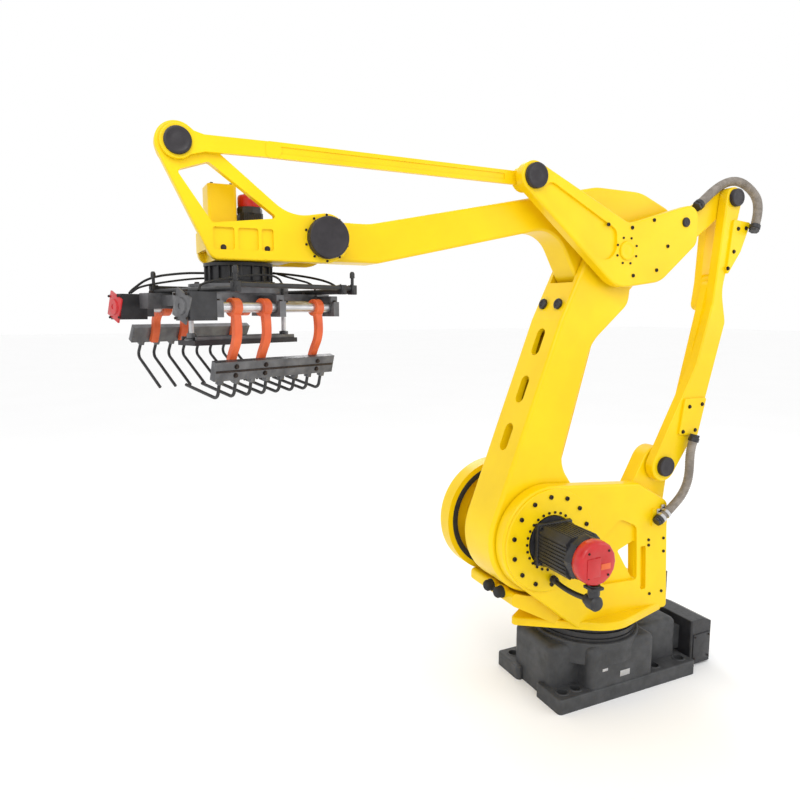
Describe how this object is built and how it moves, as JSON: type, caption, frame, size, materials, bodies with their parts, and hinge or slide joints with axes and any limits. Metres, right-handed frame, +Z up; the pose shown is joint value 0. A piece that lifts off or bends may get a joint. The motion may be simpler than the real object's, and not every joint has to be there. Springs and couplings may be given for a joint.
{
  "type": "palletising robot arm with rake gripper",
  "caption": "Floor-mounted four-axis palletising robot arm with parallelogram links that keep a rake gripper level.",
  "frame": {"origin": "on the floor, under the turning axis of the turret, at the centre of the inner floor bolts", "axes": "+X the way the arm reaches, +Y the robot's left, +Z up along the turning axis"},
  "size_m": [3.1207, 1.158, 2.6151],
  "materials": {
    "yellow_paint": "satin",
    "yellow_alloy": "satin",
    "base_iron": "matte",
    "black_cap": "satin",
    "black_steel": "satin",
    "motor_black": "satin",
    "motor_red": "satin",
    "steel": "satin",
    "bolt_black": "satin",
    "rubber": "matte",
    "hose_grey": "matte",
    "gripper_grey": "satin",
    "orange_paint": "satin"
  },
  "bodies": {
    "base": {"base_casting": "base_iron", "connector_box": "motor_black", "connector_neck": "base_iron", "j1_bearing_ring": "black_steel"},
    "turret": {"turret_casting": "yellow_paint", "j2_flange_ring": "yellow_paint", "j2_flange_bolts": "bolt_black", "j2_motor": "motor_black", "j2_motor_cap": "motor_red", "j2_connectors": "motor_black", "j3_motor": "motor_black", "j3_motor_cap": "motor_red", "bump_stops": "rubber", "tower_cable_plate": "black_steel", "tower_hose_clamp": "yellow_alloy", "lower_hose": "hose_grey"},
    "lower_arm": {"lower_arm_casting": "yellow_alloy", "shoulder_shaft": "steel", "lower_arm_plugs": "black_cap"},
    "back_link": {"back_link_casting": "yellow_alloy", "back_link_brackets": "yellow_alloy", "back_link_pins": "steel", "back_link_caps": "black_cap"},
    "triangle": {"levelling_triangle": "yellow_alloy", "triangle_pin": "steel", "triangle_cap": "black_cap", "upper_hose": "hose_grey"},
    "forearm": {"forearm_casting": "yellow_alloy", "forearm_lever": "yellow_alloy", "elbow_pin": "steel", "elbow_cap": "yellow_alloy", "lever_pin": "steel", "wrist_pin": "steel"},
    "j3_crank": {"j3_crank": "yellow_alloy"},
    "j3_pin": {"j3_crank_pin": "steel"},
    "j3_link": {"j3_link": "yellow_alloy"},
    "top_link": {"top_link": "yellow_alloy"},
    "wrist": {"wrist_casting": "yellow_alloy", "wrist_side_cap": "black_cap", "nose_pin": "steel", "nose_cap": "black_cap", "j4_gearbox": "yellow_alloy", "j4_motor": "motor_black", "j4_motor_cap": "motor_red"},
    "tool": {"tool_riser": "motor_black", "gripper_plate": "gripper_grey", "gripper_frame": "gripper_grey", "gripper_rails": "black_steel", "rake_actuators": "motor_black", "pad_guides": "gripper_grey"},
    "press": {"press_pad": "black_cap", "pad_rods": "steel"},
    "near_rake": {"near_rake_shaft": "steel", "near_rake_arms": "orange_paint", "near_rake_beam": "gripper_grey", "near_rake_tines": "black_steel"},
    "far_rake": {"far_rake_shaft": "steel", "far_rake_arms": "orange_paint", "far_rake_beam": "gripper_grey", "far_rake_tines": "black_steel"}
  },
  "joints": [
    {"name": "j1_turn", "type": "hinge", "parent": "base", "child": "turret", "pos_m": [0, 0, 0.366], "axis": [0, 0, 1], "range_deg": [-180, 180]},
    {"name": "j2_lower_arm", "type": "hinge", "parent": "turret", "child": "lower_arm", "pos_m": [0.39, 0, 0.855], "axis": [0, 1, 0], "range_deg": [-6, 54]},
    {"name": "back_link_tower", "type": "hinge", "parent": "turret", "child": "back_link", "pos_m": [-0.312, 0, 1.143], "axis": [0, 1, 0], "range_deg": [-6, 54], "deforming": ["lower_hose"]},
    {"name": "triangle_rear", "type": "hinge", "parent": "back_link", "child": "triangle", "pos_m": [-0.702, 0, 2.493], "axis": [0, 1, 0], "range_deg": [-54, 6], "deforming": ["upper_hose"]},
    {"name": "j3_forearm", "type": "hinge", "parent": "triangle", "child": "forearm", "pos_m": [0, 0, 2.205], "axis": [0, 1, 0], "range_deg": [-16, 28]},
    {"name": "j3_crank_turn", "type": "hinge", "parent": "turret", "child": "j3_crank", "pos_m": [0.39, -0.15, 0.855], "axis": [0, 1, 0], "range_deg": [-16, 28]},
    {"name": "j3_pin_turn", "type": "hinge", "parent": "j3_crank", "child": "j3_pin", "pos_m": [0.134, -0.2, 0.9], "axis": [0, 1, 0], "range_deg": [-28, 16]},
    {"name": "j3_link_turn", "type": "hinge", "parent": "j3_pin", "child": "j3_link", "pos_m": [0.134, -0.2, 0.9], "axis": [0, 1, 0], "range_deg": [-6, 54]},
    {"name": "top_link_turn", "type": "hinge", "parent": "triangle", "child": "top_link", "pos_m": [0.53, 0.12, 2.5], "axis": [0, 1, 0], "range_deg": [-16, 28]},
    {"name": "wrist_level", "type": "hinge", "parent": "forearm", "child": "wrist", "pos_m": [1.468, 0, 2.198], "axis": [0, 1, 0], "range_deg": [-28, 16]},
    {"name": "j4_tool_turn", "type": "hinge", "parent": "wrist", "child": "tool", "pos_m": [1.766, 0, 2.05], "axis": [0, 0, 1], "range_deg": [-360, 360]},
    {"name": "press_slide", "type": "slide", "parent": "tool", "child": "press", "axis": [0, 0, 1], "range_m": [-0.06, 0]},
    {"name": "near_rake_swing", "type": "hinge", "parent": "tool", "child": "near_rake", "pos_m": [1.67418, 0.21632, 1.938], "axis": [0.9205, 0.3907, 0], "range_deg": [-5, 35]},
    {"name": "far_rake_swing", "type": "hinge", "parent": "tool", "child": "far_rake", "pos_m": [1.85782, -0.21632, 1.938], "axis": [0.9205, 0.3907, 0], "range_deg": [-35, 5]}
  ],
  "couplings": [
    {"joint": "back_link_tower", "follows": "j2_lower_arm", "ratio": 1},
    {"joint": "triangle_rear", "follows": "j2_lower_arm", "ratio": -1},
    {"joint": "j3_link_turn", "follows": "j2_lower_arm", "ratio": 1},
    {"joint": "j3_crank_turn", "follows": "j3_forearm", "ratio": 1},
    {"joint": "j3_pin_turn", "follows": "j3_forearm", "ratio": -1},
    {"joint": "top_link_turn", "follows": "j3_forearm", "ratio": 1},
    {"joint": "wrist_level", "follows": "j3_forearm", "ratio": -1},
    {"joint": "far_rake_swing", "follows": "near_rake_swing", "ratio": -1}
  ]
}
